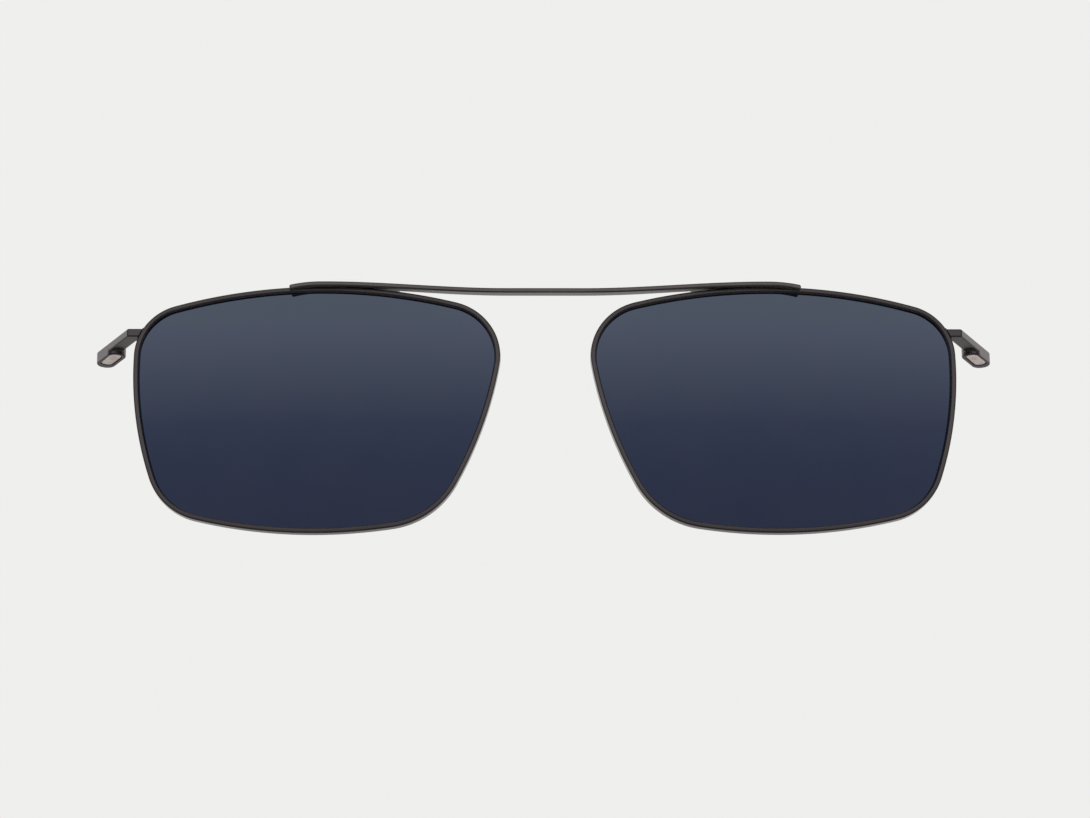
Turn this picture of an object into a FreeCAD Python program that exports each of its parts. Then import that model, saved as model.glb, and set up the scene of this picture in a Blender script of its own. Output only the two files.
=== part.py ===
import FreeCAD, Part
import math
import os
from FreeCAD import Vector

# Clip-on sunglasses. Two grooved metal eyewires hold thin mirror lenses. A notched brow bar is
# brazed across their fronts, and a bent arm with a magnet pocket is brazed to each temple corner.
# Millimetres. +Z is up, -Y is the front, and -X is the wearer's right. The right half is
# modelled and mirrored. The origin ends up at the centre of the whole object's box.

os.makedirs("parts", exist_ok=True)

# ---- Driving dimensions ------------------------------------------------------------------

EYE_WIDTH = 55.1            # opening of one eyewire, side to side
EYE_HEIGHT = 37.5           # opening of one eyewire, top to bottom
BRIDGE_GAP = 14.3           # between the two eyewires where they come closest
WRAP_ANGLE = 3.0            # each eyewire's turn around the face, in degrees
BASE_RADIUS = 132.0         # sphere of the lens's front surface

# The opening runs anticlockwise, seen from the front with the nose to the right, as eight
# tangent arcs: (turn in degrees, radius). The four long sides have no radius of their own:
# theirs follow from the width, the height and the closed outline.
FIRST_HEADING = 167.5
EYE_ARCS = (
    ("top", 25.0, None),
    ("upper_temple", 75.0, 7.2),
    ("temple", 20.5, None),
    ("lower_temple", 56.5, 9.6),
    ("bottom", 24.5, None),
    ("lower_nasal", 52.5, 12.7),
    ("nasal", 19.0, None),
    ("upper_nasal", 87.0, 7.9),
)

RIM_THICKNESS = 0.80        # eyewire, across the section
RIM_BACK_LIP = 0.31         # eyewire behind the lens groove
RIM_EDGE = 0.25             # rounding of the eyewire's long edges
RIM_BUTT_GAP = 0.12         # between the eyewire's two ends, filled with braze

LENS_THICKNESS = 0.7
LENS_RECESS = 0.65          # lens front behind the eyewire's front
LENS_BITE = 0.30            # how far the lens edge enters the groove
LENS_CLEARANCE = 0.04       # lens to groove, on every side
LENS_BEVEL = 0.10

BAR_HEIGHT = 0.74
BAR_OVERLAP = 0.14          # bar's underside at its crest below the top of the eyewires
BAR_DEPTH_MIDDLE = 2.05
BAR_SEAT = 0.45             # how far back the bar's ends lie over the eyewires
BAR_DIP = 1.18              # bar's middle below its crest
BAR_FLAT = 12.0             # straight middle stretch
BAR_PROUD = 1.15            # bar's front ahead of the eyewires' fronts
BAR_REACH = 4.1             # bar's ends past the eye centres, towards the temples
BAR_CREST_REACH = -0.8      # crest past the eye centres, towards the temples
BAR_SEAT_NASAL = 13.0       # where the bar leaves the eyewire, from the eye centre to the nose
BAR_TIP_RADIUS = 22.0       # downward bend of the bar's ends
BAR_TIP_ROUND = 0.32
BAR_EDGE = 0.22             # rounding of the bar's long edges

ARM_HEIGHT = 1.32
ARM_WIDTH = 2.15
ARM_ANGLE = 29.3            # arm's turn outward from straight back, in degrees
ARM_SLOPE = 6.4             # arm's slope down to the back, in degrees
LUG_OVERHANG = 1.0          # lug's outer corner past the eyewire's widest point
LUG_DROP = 5.72             # lug's top below the top of the eyewire
LUG_DEPTH = 2.0
LUG_SETBACK = 0.0           # lug's front behind the eyewire's front
LUG_INNER_ROUND = 0.5       # inside of the bend between lug and arm
LUG_OUTER_ROUND = 0.38      # outside of the bend
LUG_ROOT = 5.0              # lug's blank runs this far inward from the bend, into the eyewire

CUP_START = 5.8             # magnet cup's near end, along the arm from its bend
CUP_OUTER_WALL = 0.31       # outward of the magnet's adhesive line
CUP_INNER_WALL = 0.63       # inward of it
CUP_NEAR_WALL = 0.44        # before it
CUP_END_WALL = 1.19         # behind it
CUP_ROOF = 0.62             # above it
CUP_END_ROUND = 1.4         # plan corners at the cup's far end
CUP_NEAR_ROUND = 1.4        # plan corners at the cup's near end
ARM_EDGE = 0.26             # rounding of the arm's long edges

MAGNET_LENGTH = 4.5
MAGNET_WIDTH = 1.85
MAGNET_THICKNESS = 1.2
MAGNET_CORNER = 0.75
MAGNET_CHAMFER = 0.06
MAGNET_SINK = 0.10          # magnet's face inside the cup's lip
POCKET_CLEARANCE = 0.12     # adhesive line around the magnet
ADHESIVE_BED = 0.08         # adhesive over the magnet
ADHESIVE_SINK = 0.12        # adhesive below the magnet's face

BAR_BEAD = 0.28             # leg of the braze fillet behind the bar
LUG_BEAD = 0.15             # leg of the braze fillet around the lug's root
BRAZE_FILM = 0.05           # braze between the eyewire and what is joined to it

PRISM_REACH = 30.0          # outline prisms run this far in front and behind, past every part
OVERRUN = 1.0               # cutting blocks run this far past what they cut
TINY = 1e-6                 # two places closer than this are the same

# ---- Derived places ----------------------------------------------------------------------

RIM_DEPTH = LENS_RECESS + LENS_THICKNESS + LENS_CLEARANCE + RIM_BACK_LIP
RIM_FRONT_RADIUS = BASE_RADIUS + LENS_RECESS
RIM_BACK_RADIUS = RIM_FRONT_RADIUS - RIM_DEPTH
LENS_BACK_RADIUS = BASE_RADIUS - LENS_THICKNESS
SPHERE_CENTRE = Vector(0, RIM_FRONT_RADIUS, 0)

RIM_HALF_WIDTH = EYE_WIDTH / 2 + RIM_THICKNESS
RIM_TOP = EYE_HEIGHT / 2 + RIM_THICKNESS
EYE_CENTRE_X = -(BRIDGE_GAP / 2 + RIM_HALF_WIDTH * math.cos(math.radians(WRAP_ANGLE)))


# ---- Eyewire outline ---------------------------------------------------------------------

def headings():
    """Travel direction in degrees at the start of each arc, and after the last."""
    result = [FIRST_HEADING]
    for _, turn, _ in EYE_ARCS:
        result.append(result[-1] + turn)
    return result


def travel(low, high):
    """Each arc's share of the way from heading low to heading high, per unit of radius."""
    marks = headings()
    steps = []
    for first, last in zip(marks, marks[1:]):
        x = z = 0.0
        for lap in (-360.0, 0.0, 360.0):
            start = math.radians(max(first, low + lap))
            end = math.radians(min(last, high + lap))
            if end > start:
                x += math.sin(end) - math.sin(start)
                z += math.cos(start) - math.cos(end)
        steps.append((x, z))
    return steps


def side_radii():
    """Radii of all eight arcs: four solved so that the outline closes at the stated size."""
    whole = travel(FIRST_HEADING, FIRST_HEADING + 360.0)
    across = travel(270.0, 450.0)
    down = travel(180.0, 360.0)
    rules = (
        ([step[0] for step in whole], 0.0),
        ([step[1] for step in whole], 0.0),
        ([step[0] for step in across], EYE_WIDTH),
        ([step[1] for step in down], -EYE_HEIGHT),
    )
    radii = [arc[2] for arc in EYE_ARCS]
    free = [index for index, radius in enumerate(radii) if radius is None]
    rows = []
    for factors, total in rules:
        known = sum(factors[i] * radii[i] for i in range(len(radii)) if radii[i] is not None)
        rows.append([factors[i] for i in free] + [total - known])
    for i, radius in zip(free, solve(rows)):
        radii[i] = radius
    return radii


def solve(rows):
    """Gauss-Jordan elimination on rows of coefficients with the right-hand side last."""
    size = len(rows)
    for column in range(size):
        pivot = max(range(column, size), key=lambda row: abs(rows[row][column]))
        rows[column], rows[pivot] = rows[pivot], rows[column]
        lead = rows[column][column]
        rows[column] = [value / lead for value in rows[column]]
        for row in range(size):
            if row != column:
                factor = rows[row][column]
                rows[row] = [a - factor * b for a, b in zip(rows[row], rows[column])]
    return [row[-1] for row in rows]


def eye_wire(offset):
    """Closed outline in the XZ plane, the opening's box centred at the origin, grown by offset."""
    marks = headings()
    corner = Vector(0, 0, 0)
    edges = []
    for first, last, radius in zip(marks, marks[1:], side_radii()):
        centre = corner - normal(first) * radius
        points = []
        for angle in (first, (first + last) / 2, last):
            points.append(centre + normal(angle) * (radius + offset))
        edges.append(Part.Arc(*points).toShape())
        corner = centre + normal(last) * radius
    wire = Part.Wire(Part.__sortEdges__(edges))
    wire.translate(wire.optimalBoundingBox().Center * -1)
    return wire


def normal(heading):
    """Outward normal of an anticlockwise outline at this heading."""
    angle = math.radians(heading)
    return Vector(math.sin(angle), 0, -math.cos(angle))


def eye_prism(offset):
    """The outline grown by offset, as a solid running right through from front to back."""
    face = Part.Face(eye_wire(offset))
    prism = face.extrude(Vector(0, 2 * PRISM_REACH, 0))
    prism.translate(Vector(0, -PRISM_REACH, 0))
    return prism


def ball(radius):
    return Part.makeSphere(radius, SPHERE_CENTRE)


def eye_slab(offset, front_radius, back_radius):
    """The outline grown by offset, between two of the concentric lens spheres."""
    return eye_prism(offset).common(ball(front_radius)).cut(ball(back_radius))


# ---- Placing -----------------------------------------------------------------------------

def to_face(shape):
    """Turns a piece from the eye's own frame into its place on the wearer's right."""
    placed = shape.copy()
    placed.rotate(Vector(0, 0, 0), Vector(0, 0, 1), -WRAP_ANGLE)
    placed.translate(Vector(EYE_CENTRE_X, 0, 0))
    return placed


def rim_front(across, height):
    """Point on the eyewire's front sphere, given from the eye centre to the nose and up."""
    sag = RIM_FRONT_RADIUS - math.sqrt(RIM_FRONT_RADIUS ** 2 - across ** 2 - height ** 2)
    wrap = math.radians(WRAP_ANGLE)
    x = EYE_CENTRE_X + across * math.cos(wrap) + sag * math.sin(wrap)
    y = sag * math.cos(wrap) - across * math.sin(wrap)
    return Vector(x, y, height)


def mirrored(shape):
    return shape.mirror(Vector(0, 0, 0), Vector(1, 0, 0))


def edges_where(shape, test):
    return [edge for edge in shape.Edges if test(edge)]


def outline_edges(shape, depth):
    """Edges that follow the outline: each is far longer than those that cross it."""
    return edges_where(shape, lambda edge: edge.Length > 1.5 * depth)


def is_vertical(edge):
    """A straight edge along Z."""
    along = edge.Vertexes[-1].Point - edge.Vertexes[0].Point
    return math.hypot(along.x, along.y) < TINY < abs(along.z)


# ---- Eyewires and lenses -----------------------------------------------------------------

def make_rim_blank():
    """The closed ring before its butt joint is cut: rounded edges outside, groove inside."""
    outside = eye_slab(RIM_THICKNESS, RIM_FRONT_RADIUS, RIM_BACK_RADIUS)
    ring = outside.cut(eye_prism(0.0))
    ring = ring.makeFillet(RIM_EDGE, outline_edges(ring, RIM_DEPTH))
    groove = eye_slab(
        LENS_BITE + LENS_CLEARANCE,
        BASE_RADIUS + LENS_CLEARANCE,
        LENS_BACK_RADIUS - LENS_CLEARANCE,
    )
    return to_face(ring.cut(groove))


def make_lens():
    lens = eye_slab(LENS_BITE, BASE_RADIUS, LENS_BACK_RADIUS)
    return to_face(lens.makeChamfer(LENS_BEVEL, outline_edges(lens, LENS_THICKNESS)))


# ---- Brow bar ----------------------------------------------------------------------------

BAR_END_X = -EYE_CENTRE_X + BAR_REACH
BAR_CREST_X = -EYE_CENTRE_X + BAR_CREST_REACH
BAR_CREST_Z = RIM_TOP - BAR_OVERLAP + BAR_HEIGHT
BAR_DEPTH_END = BAR_PROUD + BAR_SEAT


def bar_elevation():
    """Front view of the bar's right-hand half, from the middle to its drooping end."""
    flat = BAR_FLAT / 2
    third = (BAR_CREST_X - flat) / 3
    low = BAR_CREST_Z - BAR_DIP
    bend = math.asin((BAR_END_X - BAR_CREST_X) / BAR_TIP_RADIUS)

    def edge_line(drop):
        start = Vector(0, 0, low - drop)
        rise_start = Vector(-flat, 0, low - drop)
        crest = Vector(-BAR_CREST_X, 0, BAR_CREST_Z - drop)
        rise = Part.BezierCurve()
        rise.setPoles([
            rise_start,
            rise_start - Vector(third, 0, 0),
            crest + Vector(third, 0, 0),
            crest,
        ])
        droop_points = [crest]
        for angle in (bend / 2, bend):
            radius = BAR_TIP_RADIUS - drop
            sideways = radius * math.sin(angle)
            droop_points.append(crest - Vector(sideways, 0, radius * (1 - math.cos(angle))))
        return [
            Part.makeLine(start, rise_start),
            rise.toShape(),
            Part.Arc(*droop_points).toShape(),
        ]

    top = edge_line(0.0)
    bottom = edge_line(BAR_HEIGHT)
    middle = Part.makeLine(Vector(0, 0, low), Vector(0, 0, low - BAR_HEIGHT))
    tip = Part.makeLine(top[-1].Vertexes[-1].Point, bottom[-1].Vertexes[-1].Point)
    return Part.Face(Part.Wire(Part.__sortEdges__(top + bottom + [middle, tip])))


def bar_plan():
    """Top view: front and back edges are arcs that follow the two eyewires' fronts."""
    end = rim_front(-BAR_REACH, RIM_TOP)
    leave = rim_front(BAR_SEAT_NASAL, RIM_TOP)
    front_radius = (end.x ** 2 - leave.x ** 2) / (2 * (end.y - leave.y))
    middle_y = leave.y - leave.x ** 2 / (2 * front_radius) - BAR_PROUD
    end_y = middle_y + BAR_END_X ** 2 / (2 * front_radius)
    side = BAR_END_X + OVERRUN

    def bow(middle, end_value, x):
        return middle + (end_value - middle) * (x / BAR_END_X) ** 2

    front = [Vector(x, bow(middle_y, end_y, x), 0) for x in (-side, 0, side)]
    back_middle = middle_y + BAR_DEPTH_MIDDLE
    back_end = end_y + BAR_DEPTH_END
    back = [Vector(x, bow(back_middle, back_end, x), 0) for x in (-side, 0, side)]
    edges = [
        Part.Arc(*front).toShape(),
        Part.makeLine(front[2], back[2]),
        Part.Arc(*back).toShape(),
        Part.makeLine(back[0], front[0]),
    ]
    return Part.Face(Part.Wire(Part.__sortEdges__(edges)))


def make_bar_blank():
    """The whole bar with rounded edges, before the eyewires' seats are cut into it."""
    half = bar_elevation().extrude(Vector(0, 2 * PRISM_REACH, 0))
    half.translate(Vector(0, -PRISM_REACH, 0))
    whole = half.fuse(mirrored(half)).removeSplitter()
    plan = bar_plan().extrude(Vector(0, 0, 2 * PRISM_REACH))
    bar = whole.common(plan).removeSplitter()
    tips = edges_where(bar, is_bar_tip)
    bar = bar.makeFillet(BAR_TIP_ROUND, tips)
    long_edges = edges_where(bar, is_bar_outline)
    return bar.makeFillet(BAR_EDGE, long_edges)


def crosses_bar(edge):
    """Edges that run from the bar's front face to its back face."""
    box = edge.BoundBox
    return box.YLength > BAR_DEPTH_END / 2 > box.XLength


def is_bar_tip(edge):
    """The four crossing edges at the bar's two ends."""
    return crosses_bar(edge) and abs(edge.CenterOfMass.x) > BAR_CREST_X + BAR_TIP_ROUND


def is_bar_outline(edge):
    """Edges that lie on the bar's front or back face."""
    return not crosses_bar(edge)


# ---- Arms --------------------------------------------------------------------------------

LUG_TOP_Z = RIM_TOP - LUG_DROP
LUG_CORNER = rim_front(-EYE_WIDTH / 2, LUG_TOP_Z - ARM_HEIGHT / 2)
ARM_BEND = Vector(
    LUG_CORNER.x - RIM_THICKNESS - LUG_OVERHANG,
    LUG_CORNER.y + LUG_SETBACK,
    LUG_TOP_Z,
)
ALONG = Vector(-math.sin(math.radians(ARM_ANGLE)), math.cos(math.radians(ARM_ANGLE)), 0)
INWARD = Vector(ALONG.y, -ALONG.x, 0)

CUP_LENGTH = CUP_NEAR_WALL + MAGNET_LENGTH + 2 * POCKET_CLEARANCE + CUP_END_WALL
CUP_WIDTH = CUP_OUTER_WALL + MAGNET_WIDTH + 2 * POCKET_CLEARANCE + CUP_INNER_WALL
POCKET_ROOF = -CUP_ROOF
MAGNET_BACK = POCKET_ROOF - ADHESIVE_BED
MAGNET_FACE = MAGNET_BACK - MAGNET_THICKNESS
CUP_LIP = MAGNET_FACE - MAGNET_SINK


def in_arm(along, inward, height=0.0):
    """Point in the arm's level frame, whose origin is the top of its outer bend."""
    return ALONG * along + INWARD * inward + Vector(0, 0, height)


def rounded_bar(start, length, inward, width, top, bottom, near_round, far_round):
    """Upright block along the arm with rounded plan corners."""
    corners = [
        in_arm(start, inward),
        in_arm(start + length, inward),
        in_arm(start + length, inward + width),
        in_arm(start, inward + width),
        in_arm(start, inward),
    ]
    block = Part.Face(Part.makePolygon(corners)).extrude(Vector(0, 0, bottom - top))
    block.translate(Vector(0, 0, top))
    middle = start + length / 2
    uprights = edges_where(block, is_vertical)
    near = [edge for edge in uprights if edge.CenterOfMass.dot(ALONG) < middle]
    far = [edge for edge in uprights if edge.CenterOfMass.dot(ALONG) > middle]
    return block.makeFillet(near_round, near).makeFillet(far_round, far)


def to_bend(shape):
    """Slopes a piece of the arm and moves it to its place at the eyewire."""
    placed = shape.copy()
    placed.rotate(Vector(0, 0, 0), Vector(1, 0, 0), -ARM_SLOPE)
    placed.translate(ARM_BEND)
    return placed


def lug_and_arm():
    """Lug across the front, then the arm turned back, as one bent strip."""
    run = CUP_START + CUP_LENGTH / 2
    inner_turn = ARM_WIDTH / math.cos(math.radians(ARM_ANGLE))
    slant = math.tan(math.radians(ARM_ANGLE))
    inner_corner = Vector(inner_turn - LUG_DEPTH * slant, LUG_DEPTH, 0)
    corners = [
        Vector(LUG_ROOT, 0, 0),
        Vector(0, 0, 0),
        in_arm(run, 0),
        in_arm(run, ARM_WIDTH),
        inner_corner,
        Vector(LUG_ROOT, LUG_DEPTH, 0),
        Vector(LUG_ROOT, 0, 0),
    ]
    strip = Part.Face(Part.makePolygon(corners)).extrude(Vector(0, 0, -ARM_HEIGHT))

    def upright_at(corner):
        def test(edge):
            offset = edge.Vertexes[0].Point - corner
            return is_vertical(edge) and math.hypot(offset.x, offset.y) < TINY
        return test

    strip = strip.makeFillet(LUG_INNER_ROUND, edges_where(strip, upright_at(inner_corner)))
    return strip.makeFillet(LUG_OUTER_ROUND, edges_where(strip, upright_at(Vector(0, 0, 0))))


def magnet_block(margin, near_face, far_face):
    """The magnet's plan grown by margin, between two heights below the arm's top."""
    length = MAGNET_LENGTH + 2 * margin
    width = MAGNET_WIDTH + 2 * margin
    start = CUP_START + CUP_NEAR_WALL + POCKET_CLEARANCE - margin
    inward = CUP_OUTER_WALL + POCKET_CLEARANCE - margin
    corner = MAGNET_CORNER + margin
    return rounded_bar(start, length, inward, width, near_face, far_face, corner, corner)


def cup_block():
    return rounded_bar(
        CUP_START, CUP_LENGTH, 0.0, CUP_WIDTH, 0.0, CUP_LIP, CUP_NEAR_ROUND, CUP_END_ROUND)


def make_arm():
    body = lug_and_arm().fuse(cup_block()).removeSplitter()

    def is_outline(edge):
        return edge.BoundBox.XMin < LUG_ROOT - OVERRUN and not is_vertical(edge)

    body = body.makeFillet(ARM_EDGE, edges_where(body, is_outline))
    pocket = magnet_block(POCKET_CLEARANCE, POCKET_ROOF, CUP_LIP - OVERRUN)
    arm = to_bend(body.cut(pocket))
    return arm.cut(to_face(eye_prism(RIM_THICKNESS + BRAZE_FILM)))


def make_magnet():
    magnet = magnet_block(0.0, MAGNET_BACK, MAGNET_FACE)
    rims = edges_where(magnet, lambda edge: not is_vertical(edge))
    return to_bend(magnet.makeChamfer(MAGNET_CHAMFER, rims))


def make_magnet_adhesive(magnet):
    """Bed over the magnet and the line around it, stopping short of its face."""
    filled = magnet_block(POCKET_CLEARANCE, POCKET_ROOF, MAGNET_FACE + ADHESIVE_SINK)
    return to_bend(filled).cut(magnet)


# ---- Braze -------------------------------------------------------------------------------

def butt_slit():
    """Thin level slice through the eyewire's temple side at the height of the lug."""
    slit = Part.makeBox(EYE_WIDTH / 2, 2 * PRISM_REACH, RIM_BUTT_GAP)
    slit.translate(Vector(EYE_CENTRE_X - EYE_WIDTH, -PRISM_REACH, LUG_TOP_Z - ARM_HEIGHT / 2))
    return slit


def make_arm_braze(rim_blank, arm):
    """Film behind the lug, a bead around its root and the filling of the butt joint."""
    length = LUG_ROOT + LUG_OVERHANG
    root = Part.makeBox(length, LUG_DEPTH + 2 * LUG_BEAD, ARM_HEIGHT + 2 * LUG_BEAD)
    root.translate(Vector(-LUG_OVERHANG, -LUG_BEAD, -ARM_HEIGHT - LUG_BEAD))
    lengthwise = edges_where(root, lambda edge: edge.BoundBox.XLength > LUG_ROOT)
    root = to_bend(root.makeFillet(LUG_BEAD, lengthwise))
    front = RIM_FRONT_RADIUS - RIM_EDGE
    back = RIM_BACK_RADIUS + RIM_EDGE
    collar = root.common(to_face(eye_slab(RIM_THICKNESS + LUG_BEAD, front, back)))
    collar = collar.cut(to_face(eye_prism(RIM_THICKNESS))).cut(arm)
    filling = rim_blank.common(butt_slit())
    return collar.fuse(filling).removeSplitter()


def bar_seat():
    """What is cut from the bar so that it clears one eyewire by the braze film."""
    seat = eye_prism(RIM_THICKNESS + BRAZE_FILM).common(ball(RIM_FRONT_RADIUS + BRAZE_FILM))
    return to_face(seat)


def make_bar_braze(rim_blank, bar_blank, bar):
    """Film between the bar and the eyewire, and a bead in the corner behind the bar."""
    film = bar_blank.common(bar_seat())
    shell = to_face(eye_prism(RIM_THICKNESS + BAR_BEAD))
    behind = bar_blank.copy()
    behind.translate(Vector(0, BAR_BEAD, 0))
    seated = Part.makeBox(BAR_REACH + BAR_SEAT_NASAL, 2 * PRISM_REACH, EYE_HEIGHT)
    seated.translate(Vector(EYE_CENTRE_X - BAR_REACH, -PRISM_REACH, 0))
    bead = shell.common(behind).common(seated)
    inside = to_face(eye_prism(LENS_BITE + LENS_CLEARANCE))
    return film.fuse(bead).cut(inside).cut(bar).cut(rim_blank).removeSplitter()


# ---- Build -------------------------------------------------------------------------------

rim_blank = make_rim_blank()
rim = rim_blank.cut(butt_slit())
lens = make_lens()
bar_blank = make_bar_blank()
bar = bar_blank.cut(bar_seat()).cut(mirrored(bar_seat()))
arm = make_arm()
magnet = make_magnet()

right_half = {
    "rim": rim,
    "lens": lens,
    "arm": arm,
    "magnet": magnet,
    "magnet_adhesive": make_magnet_adhesive(magnet),
    "arm_braze": make_arm_braze(rim_blank, arm),
    "bar_braze": make_bar_braze(rim_blank, bar_blank, bar),
}

parts = {"brow_bar": bar}
for name, shape in right_half.items():
    parts["right_" + name] = shape
    parts["left_" + name] = mirrored(shape)

whole = Part.makeCompound(list(parts.values())).optimalBoundingBox()
for name, shape in parts.items():
    shape.translate(whole.Center * -1)
    shape.exportStep("parts/" + name + ".step")
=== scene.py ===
import math

import bpy
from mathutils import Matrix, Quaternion, Vector


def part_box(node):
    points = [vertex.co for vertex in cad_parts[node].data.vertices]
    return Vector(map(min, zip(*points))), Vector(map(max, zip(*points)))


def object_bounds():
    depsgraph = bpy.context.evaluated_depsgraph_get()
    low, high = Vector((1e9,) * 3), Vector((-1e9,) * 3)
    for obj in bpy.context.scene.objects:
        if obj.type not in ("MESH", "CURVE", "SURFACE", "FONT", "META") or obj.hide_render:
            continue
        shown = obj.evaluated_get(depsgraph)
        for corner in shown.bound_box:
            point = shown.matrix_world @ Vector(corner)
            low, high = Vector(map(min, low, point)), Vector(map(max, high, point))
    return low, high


# Clip-on sunglasses, in metres. +Z is up as worn and -Y is the front. The lenses' coats, the
# coated steel, the plated magnets and the glue around them are all procedural materials.

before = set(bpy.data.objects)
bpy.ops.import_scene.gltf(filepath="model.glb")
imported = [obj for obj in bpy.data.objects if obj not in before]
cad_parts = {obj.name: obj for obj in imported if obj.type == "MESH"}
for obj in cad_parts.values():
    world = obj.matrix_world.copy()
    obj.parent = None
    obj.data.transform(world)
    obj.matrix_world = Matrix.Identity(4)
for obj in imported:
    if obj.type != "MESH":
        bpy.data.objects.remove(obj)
CAD_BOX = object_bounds()
MM = 0.001

# Sizes of the marks in each finish
COAT_BLOTCH = 6 * MM
COAT_PEEL = 0.45 * MM
COAT_GRAIN = 0.09 * MM
COAT_SPECK = 0.25 * MM
LENS_HAZE = 9 * MM
LENS_DUST = 0.2 * MM
PLATING_PATCH = 1.6 * MM
PLATING_PIT = 0.12 * MM
PLATING_SCRATCH = 0.05 * MM
GLUE_WAVE = 0.6 * MM
GLUE_DUST = 0.08 * MM

# Heights of the relief that can be felt
PEEL_DEPTH = 0.010 * MM
GRAIN_DEPTH = 0.003 * MM
PIT_DEPTH = 0.008 * MM
SCRATCH_DEPTH = 0.003 * MM
WAVE_DEPTH = 0.03 * MM

# Studio
FLOOR_DROP = 0.95
FLOOR_SIZE = 30.0
CAMERA_DISTANCE = 0.7
CAMERA_RISE = math.radians(15)      # below the lenses, looking up
CAMERA_SIDE = math.radians(1.0)
CAMERA_ROLL = math.radians(-0.25)
VIEW_WIDTH = 0.1672                 # what the picture spans at the object
SENSOR_WIDTH = 36.0
AIM_SHIFT = Vector((-0.13 * MM, 1.5 * MM, -0.28 * MM))      # from the middle of the front


# ---- Node helpers ------------------------------------------------------------------------

def new_material(name):
    """A new material, with its node tree and its Principled shader."""
    material = bpy.data.materials.new(name)
    material.use_nodes = True
    tree = material.node_tree
    shader = next(node for node in tree.nodes if node.type == "BSDF_PRINCIPLED")
    return material, tree, shader


def add(tree, kind, **settings):
    """A new node with its settings."""
    node = tree.nodes.new(kind)
    for name, value in settings.items():
        setattr(node, name, value)
    return node


def put(tree, value, socket):
    """Links an output to an input, or sets a plain value on it."""
    if isinstance(value, bpy.types.NodeSocket):
        tree.links.new(value, socket)
    else:
        socket.default_value = value


def calc(tree, operation, *values):
    """Sum, product or another plain calculation."""
    node = add(tree, "ShaderNodeMath", operation=operation)
    for index, value in enumerate(values):
        put(tree, value, node.inputs[index])
    return node.outputs[0]


def blend_colour(tree, factor, first, second):
    """The first colour where factor is 0, the second where it is 1."""
    node = add(tree, "ShaderNodeMix", data_type="RGBA")
    put(tree, factor, node.inputs["Factor"])
    put(tree, first, node.inputs[6])
    put(tree, second, node.inputs[7])
    return node.outputs[2]


def spread(tree, value, low, high, new_low, new_high):
    """Maps low..high to new_low..new_high, held at the ends."""
    node = add(tree, "ShaderNodeMapRange")
    put(tree, value, node.inputs["Value"])
    node.inputs["From Min"].default_value = low
    node.inputs["From Max"].default_value = high
    node.inputs["To Min"].default_value = new_low
    node.inputs["To Max"].default_value = new_high
    return node.outputs[0]


def object_place(tree):
    return add(tree, "ShaderNodeTexCoord").outputs["Object"]


def noise(tree, place, size, detail=3.0, roughness=0.5):
    """Noise whose features are about size metres across."""
    node = add(tree, "ShaderNodeTexNoise")
    put(tree, place, node.inputs["Vector"])
    node.inputs["Scale"].default_value = 1.0 / size
    node.inputs["Detail"].default_value = detail
    node.inputs["Roughness"].default_value = roughness
    return node.outputs["Fac"]


def bump(tree, height, depth, strength, under=None):
    """Relief of this depth in metres, laid over the relief under it."""
    node = add(tree, "ShaderNodeBump")
    put(tree, height, node.inputs["Height"])
    node.inputs["Distance"].default_value = depth
    node.inputs["Strength"].default_value = strength
    if under is not None:
        put(tree, under, node.inputs["Normal"])
    return node.outputs["Normal"]


def colour_ramp(tree, value, stops):
    """A straight ramp through (position, linear colour) stops."""
    node = add(tree, "ShaderNodeValToRGB")
    points = node.color_ramp.elements
    while len(points) < len(stops):
        points.new(1.0)
    for point, (position, colour) in zip(points, stops):
        point.position = position
        point.color = colour
    put(tree, value, node.inputs[0])
    return node.outputs[0]


def grey(level):
    return (level, level, level, 1.0)


def shade(base, factor):
    """A linear colour made lighter or darker."""
    return tuple(factor * channel for channel in base) + (1.0,)


def srgb(red, green, blue):
    """Linear colour of an 8-bit display colour."""
    def line(value):
        value /= 255.0
        return value / 12.92 if value <= 0.04045 else ((value + 0.055) / 1.055) ** 2.4
    return (line(red), line(green), line(blue), 1.0)


PALE = srgb(239, 239, 237)


# ---- Materials ---------------------------------------------------------------------------

def gunmetal(name, base, roughness):
    """Thin satin coat over steel: uneven in tone, orange-peeled, with fine grain and specks."""
    material, tree, shader = new_material(name)
    place = object_place(tree)
    blotch = noise(tree, place, COAT_BLOTCH, 2.0)
    peel = noise(tree, place, COAT_PEEL, 2.0)
    grain = noise(tree, place, COAT_GRAIN, 4.0, 0.6)
    speck = noise(tree, place, COAT_SPECK, 1.0)

    uneven = spread(tree, blotch, 0.3, 0.7, 0.0, 1.0)
    pale_grain = spread(tree, grain, 0.35, 0.7, 0.0, 0.22)
    dark_specks = spread(tree, speck, 0.70, 0.76, 0.0, 0.5)
    tone = blend_colour(tree, uneven, shade(base, 0.90), shade(base, 1.08))
    tone = blend_colour(tree, pale_grain, tone, shade(base, 1.5))
    tone = blend_colour(tree, dark_specks, tone, shade(base, 0.6))
    put(tree, tone, shader.inputs["Base Color"])
    shader.inputs["Metallic"].default_value = 0.94

    wide_wear = spread(tree, blotch, 0.3, 0.7, -0.03, 0.03)
    fine_wear = spread(tree, grain, 0.3, 0.7, roughness - 0.04, roughness + 0.05)
    put(tree, calc(tree, "ADD", wide_wear, fine_wear), shader.inputs["Roughness"])
    rolling = bump(tree, peel, PEEL_DEPTH, 0.12)
    put(tree, bump(tree, grain, GRAIN_DEPTH, 0.35, rolling), shader.inputs["Normal"])
    return material


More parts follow.
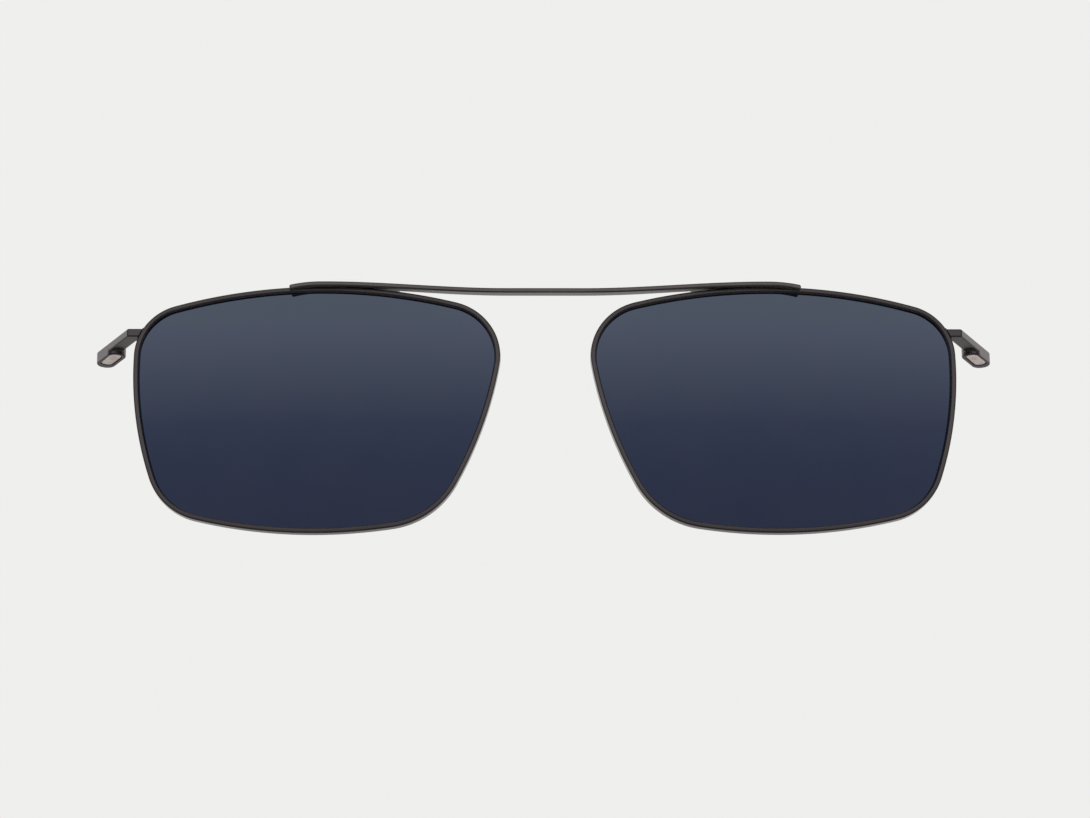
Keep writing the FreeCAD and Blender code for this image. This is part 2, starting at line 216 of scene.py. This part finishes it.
def mirror_lens():
    """A dark blue mirror in front, lighter towards the top: partly a gradient coat, partly painted
    reflection of the light above. A plain dark back. Faint wipe marks and dust show only in the
    gloss."""
    material, tree, shader = new_material("mirror_lens")
    place = object_place(tree)
    parts = add(tree, "ShaderNodeSeparateXYZ")
    put(tree, place, parts.inputs[0])
    low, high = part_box("right_lens")
    height = spread(tree, parts.outputs["Z"], low.z, high.z, 0.0, 1.0)
    # Lighter towards the top, a little lighter again at the very bottom, darkest low in the
    # middle: partly the coat's own gradient, partly painted reflection of the light above.
    front = colour_ramp(tree, height, (
        (0.00, (0.095, 0.118, 0.227, 1)),
        (0.15, (0.086, 0.107, 0.202, 1)),
        (0.30, (0.078, 0.100, 0.187, 1)),
        (0.44, (0.080, 0.102, 0.183, 1)),
        (0.52, (0.094, 0.118, 0.195, 1)),
        (0.65, (0.128, 0.157, 0.238, 1)),
        (0.82, (0.181, 0.215, 0.310, 1)),
        (1.00, (0.218, 0.268, 0.358, 1)),
    ))
    haze = noise(tree, place, LENS_HAZE, 3.0)
    front = blend_colour(tree, spread(tree, haze, 0.35, 0.65, 0.0, 0.05), front, grey(0.2))

    facing = add(tree, "ShaderNodeSeparateXYZ")
    put(tree, add(tree, "ShaderNodeTexCoord").outputs["Normal"], facing.inputs[0])
    back = spread(tree, facing.outputs["Y"], -0.2, 0.2, 0.0, 1.0)
    tone = blend_colour(tree, back, front, (0.048, 0.046, 0.052, 1))
    put(tree, tone, shader.inputs["Base Color"])
    shader.inputs["Metallic"].default_value = 1.0

    dust = noise(tree, place, LENS_DUST, 2.0)
    wiped = spread(tree, haze, 0.4, 0.7, 0.02, 0.05)
    dusty = spread(tree, dust, 0.72, 0.8, 0.0, 0.12)
    put(tree, calc(tree, "ADD", wiped, dusty), shader.inputs["Roughness"])
    return material


def magnet_plating():
    """Satin nickel, warmer and duller in patches, pitted and finely scratched along the magnet."""
    material, tree, shader = new_material("magnet_plating")
    place = object_place(tree)
    patch = noise(tree, place, PLATING_PATCH, 3.0)
    pits = noise(tree, place, PLATING_PIT, 3.0, 0.6)
    stretched = add(tree, "ShaderNodeMapping")
    put(tree, place, stretched.inputs["Vector"])
    stretched.inputs["Scale"].default_value = (1.0, 0.12, 1.0)
    scratch = noise(tree, stretched.outputs[0], PLATING_SCRATCH, 2.0)

    patchy = spread(tree, patch, 0.35, 0.65, 0.0, 1.0)
    pitted = spread(tree, pits, 0.60, 0.75, 0.0, 0.5)
    tone = blend_colour(tree, patchy, (0.46, 0.395, 0.365, 1), (0.60, 0.535, 0.50, 1))
    tone = blend_colour(tree, pitted, tone, (0.30, 0.26, 0.24, 1))
    put(tree, tone, shader.inputs["Base Color"])
    shader.inputs["Metallic"].default_value = 0.2

    put(tree, spread(tree, scratch, 0.3, 0.7, 0.32, 0.5), shader.inputs["Roughness"])
    dents = bump(tree, pits, PIT_DEPTH, 0.4)
    put(tree, bump(tree, scratch, SCRATCH_DEPTH, 0.4, dents), shader.inputs["Normal"])
    return material


def dark_epoxy():
    """Near-black glue, glossy where it settled smooth, with a wavy skin and trapped dust."""
    material, tree, shader = new_material("dark_epoxy")
    place = object_place(tree)
    wave = noise(tree, place, GLUE_WAVE, 2.0)
    dust = noise(tree, place, GLUE_DUST, 2.0)
    dusty = spread(tree, dust, 0.62, 0.75, 0.0, 0.5)
    tone = blend_colour(tree, dusty, (0.012, 0.010, 0.010, 1), (0.05, 0.045, 0.042, 1))
    put(tree, tone, shader.inputs["Base Color"])
    put(tree, spread(tree, wave, 0.3, 0.7, 0.22, 0.4), shader.inputs["Roughness"])
    put(tree, bump(tree, wave, WAVE_DEPTH, 0.5), shader.inputs["Normal"])
    return material


def dress(node, material):
    """Puts the material on a CAD node."""
    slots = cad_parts[node].material_slots
    if not slots:
        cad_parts[node].data.materials.append(material)
    for slot in slots:
        slot.material = material


FRAME_COAT = gunmetal("frame_gunmetal", (0.172, 0.150, 0.154), 0.24)
# The brow bar has the frame's own coat; this copy is made about 40% lighter, a painted highlight
# on the bar.
BAR_COAT_PAINTED_LIGHTER = gunmetal("bar_gunmetal_painted_lighter", (0.240, 0.211, 0.212), 0.22)
# The fillets carry the frame's coat too; this copy is made about 10% darker, painted shade in the
# joints, and its higher roughness is the coat's own.
BRAZE_COAT_PAINTED_SHADE = gunmetal("coated_braze_painted_shade", (0.155, 0.136, 0.139), 0.32)
LENS = mirror_lens()
PLATING = magnet_plating()
EPOXY = dark_epoxy()

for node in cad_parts:
    if node.endswith("lens"):
        dress(node, LENS)
    elif node.endswith("magnet"):
        dress(node, PLATING)
    elif node.endswith("adhesive"):
        dress(node, EPOXY)
    elif node.endswith("braze"):
        dress(node, BRAZE_COAT_PAINTED_SHADE)
    elif node == "brow_bar":
        dress(node, BAR_COAT_PAINTED_LIGHTER)
    else:
        dress(node, FRAME_COAT)


# ---- Light, floor and camera -------------------------------------------------------------

def studio_world():
    """Pale to the camera and even white to matt surfaces. Gloss reflects a white wall behind the
    object, a grey room ahead of it, dim sides, a soft overhead panel, and darkness between."""
    world = bpy.data.worlds.new("studio")
    bpy.context.scene.world = world
    world.use_nodes = True
    world.cycles.sampling_method = "NONE"
    tree = world.node_tree
    tree.nodes.clear()
    parts = add(tree, "ShaderNodeSeparateXYZ")
    put(tree, add(tree, "ShaderNodeTexCoord").outputs["Generated"], parts.inputs[0])
    depth, height = parts.outputs["Y"], parts.outputs["Z"]
    step = spread(tree, height, -1.0, 1.0, 0.0, 1.0)
    ahead = colour_ramp(tree, step, (
        (0.30, grey(0.03)),
        (0.47, grey(0.24)),
        (0.63, grey(0.42)),
        (0.74, grey(0.37)),
        (0.95, grey(0.12)),
    ))
    behind = colour_ramp(tree, step, (
        (0.08, grey(0.12)),
        (0.20, grey(0.30)),
        (0.28, grey(0.36)),
        (0.38, grey(0.51)),
        (0.50, grey(0.84)),
        (0.63, grey(0.82)),
        (0.75, grey(0.75)),
        (0.95, grey(0.12)),
    ))
    in_front = spread(tree, depth, -0.72, -0.50, 1.0, 0.0)
    at_back = spread(tree, depth, 0.20, 0.48, 0.0, 1.0)
    at_side = spread(tree, calc(tree, "ABSOLUTE", depth), 0.10, 0.40, 1.0, 0.0)
    overhead = spread(tree, height, 0.92, 0.98, 0.0, 1.0)
    room = blend_colour(tree, at_side, grey(0.03), grey(0.16))
    room = blend_colour(tree, in_front, room, ahead)
    room = blend_colour(tree, at_back, room, behind)
    room = blend_colour(tree, overhead, room, grey(0.42))
    rays = add(tree, "ShaderNodeLightPath")
    light = blend_colour(tree, rays.outputs["Is Diffuse Ray"], room, grey(1.0))
    colour = blend_colour(tree, rays.outputs["Is Camera Ray"], light, PALE)
    background = add(tree, "ShaderNodeBackground")
    put(tree, colour, background.inputs["Color"])
    output = add(tree, "ShaderNodeOutputWorld")
    tree.links.new(background.outputs[0], output.inputs["Surface"])


def pale_floor():
    """A wide matt floor far below, kept out of the light and the reflections on the object."""
    bpy.ops.object.select_all(action="DESELECT")
    bpy.ops.mesh.primitive_plane_add(size=FLOOR_SIZE, location=(0, 0, -FLOOR_DROP))
    floor = bpy.context.object
    floor.name = "floor"
    material, tree, shader = new_material("pale_floor")
    shader.inputs["Base Color"].default_value = PALE
    shader.inputs["Roughness"].default_value = 0.9
    floor.data.materials.append(material)
    floor.visible_glossy = False
    floor.visible_diffuse = False


def front_camera():
    """Long lens, 15 degrees below the level of the lenses, so that the magnets show, a degree
    to one side and hardly tilted."""
    low, high = CAD_BOX
    centre = (low + high) / 2
    aim = Vector((centre.x, low.y, centre.z)) + AIM_SHIFT
    camera = bpy.data.cameras.new("camera")
    camera.sensor_width = SENSOR_WIDTH
    camera.lens = SENSOR_WIDTH * CAMERA_DISTANCE / VIEW_WIDTH
    camera.clip_start = 0.01
    camera.clip_end = 100.0
    holder = bpy.data.objects.new("camera", camera)
    bpy.context.collection.objects.link(holder)
    level = Vector((math.sin(CAMERA_SIDE), math.cos(CAMERA_SIDE), 0))
    look = level * math.cos(CAMERA_RISE) + Vector((0, 0, math.sin(CAMERA_RISE)))
    holder.location = aim - CAMERA_DISTANCE * look
    turned = look.to_track_quat("-Z", "Y") @ Quaternion((0, 0, 1), CAMERA_ROLL)
    holder.rotation_euler = turned.to_euler()
    bpy.context.scene.camera = holder


studio_world()
pale_floor()
front_camera()
bpy.context.scene.view_settings.view_transform = "Standard"
